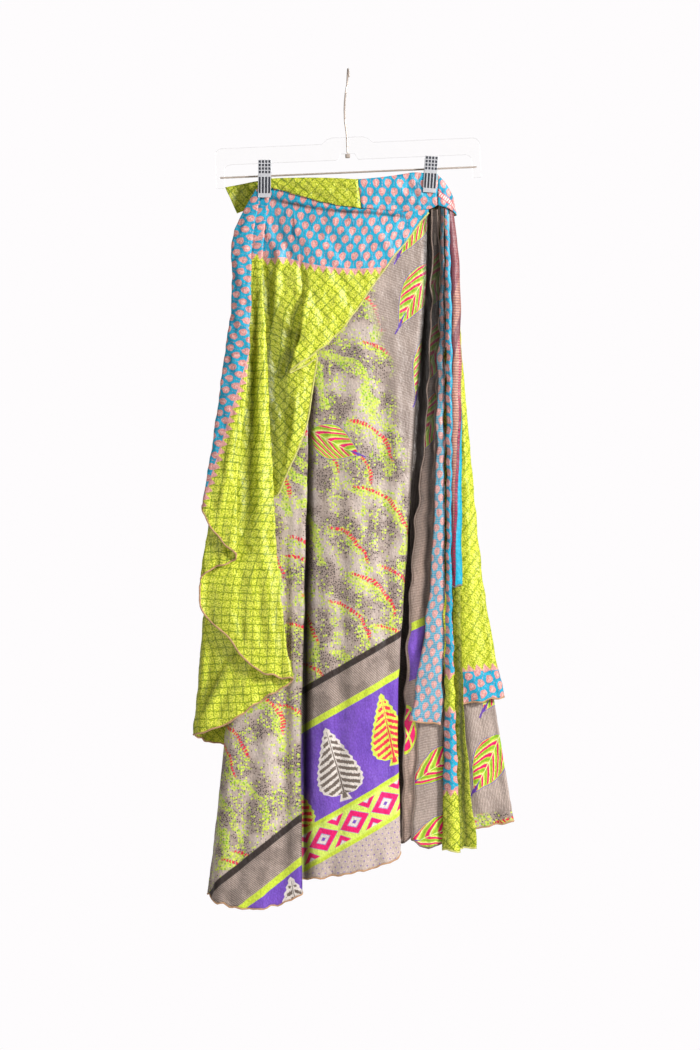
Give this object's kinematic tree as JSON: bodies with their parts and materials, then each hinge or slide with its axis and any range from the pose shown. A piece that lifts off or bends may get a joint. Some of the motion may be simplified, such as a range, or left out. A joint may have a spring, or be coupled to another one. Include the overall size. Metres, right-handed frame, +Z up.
{
  "type": "wrap skirt on clip hanger",
  "caption": "Layered silk wrap skirt with a draped, stepped overskirt, side pleats and a looped tie, held by clips on a clear bar hanger with a wire hook.",
  "frame": {"origin": "underside of the hook's top bend, where the rail bears", "axes": "+Z up, +X to the right seen from the front (the tie's side), -Y towards the front with the free edge"},
  "size_m": [0.4284, 0.109, 1.1183],
  "materials": {
    "grey_print": "printed silk, satin sheen",
    "green_lattice": "printed silk, satin sheen",
    "blue_border": "printed silk, satin sheen",
    "tie_stripe": "printed silk, satin sheen",
    "label": "woven tape",
    "clear_plastic": "clear, polished",
    "steel": "bright wire",
    "clip_steel": "bright plated"
  },
  "bodies": {
    "root": {"underskirt_front": "grey_print", "underskirt_back": "grey_print", "overskirt_back": "green_lattice", "overskirt_front": "green_lattice", "overskirt_side": "green_lattice", "underskirt_fold_plain": "grey_print", "underskirt_fold_leaf": "grey_print", "overskirt_fold_border": "blue_border", "underskirt_fold_border": "blue_border", "underskirt_pleat_green": "green_lattice", "tie_fall": "tie_stripe", "waistband_front_green": "green_lattice", "waistband_front_blue": "blue_border", "waistband_back": "green_lattice", "tie_loop": "blue_border", "label": "label", "hanger_body": "clear_plastic", "hanger_hook": "steel", "hanger_nut": "steel", "hanger_rod": "steel", "clip_left_jaw_front": "clip_steel", "clip_left_jaw_back": "clip_steel", "clip_left_spring": "clip_steel", "clip_right_jaw_front": "clip_steel", "clip_right_jaw_back": "clip_steel", "clip_right_spring": "clip_steel"}
  },
  "joints": []
}
